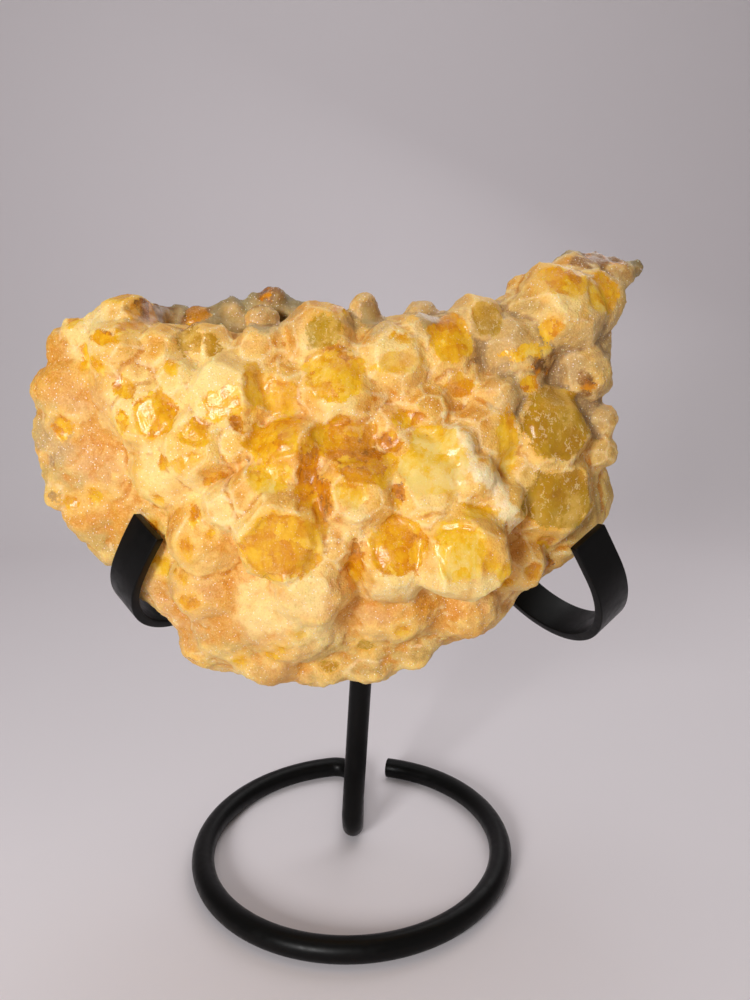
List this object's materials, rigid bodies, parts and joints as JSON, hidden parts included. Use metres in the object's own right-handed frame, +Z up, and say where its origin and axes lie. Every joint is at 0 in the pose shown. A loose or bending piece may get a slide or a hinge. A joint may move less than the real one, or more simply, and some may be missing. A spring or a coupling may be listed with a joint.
{
  "type": "quartz cluster on display stand",
  "caption": "Lemon-yellow quartz crystal cluster held upright by flat steel hooks on a black bent-rod display stand with an open ring foot.",
  "frame": {"origin": "on the table, under the middle of the whole object's bounding box", "axes": "+Z up, -Y towards the crystal-covered front, +X to the viewer's right; the middle of the ring foot is at y = 0.0042"},
  "size_m": [0.1925, 0.1251, 0.2177],
  "materials": {
    "black paint": "semi-gloss black",
    "lemon quartz": "sugary translucent crust with glassy amber faces"
  },
  "bodies": {
    "root": {"base_rod": "black paint", "left_hook": "black paint", "right_hook": "black paint", "quartz_cluster": "lemon quartz"}
  },
  "joints": []
}
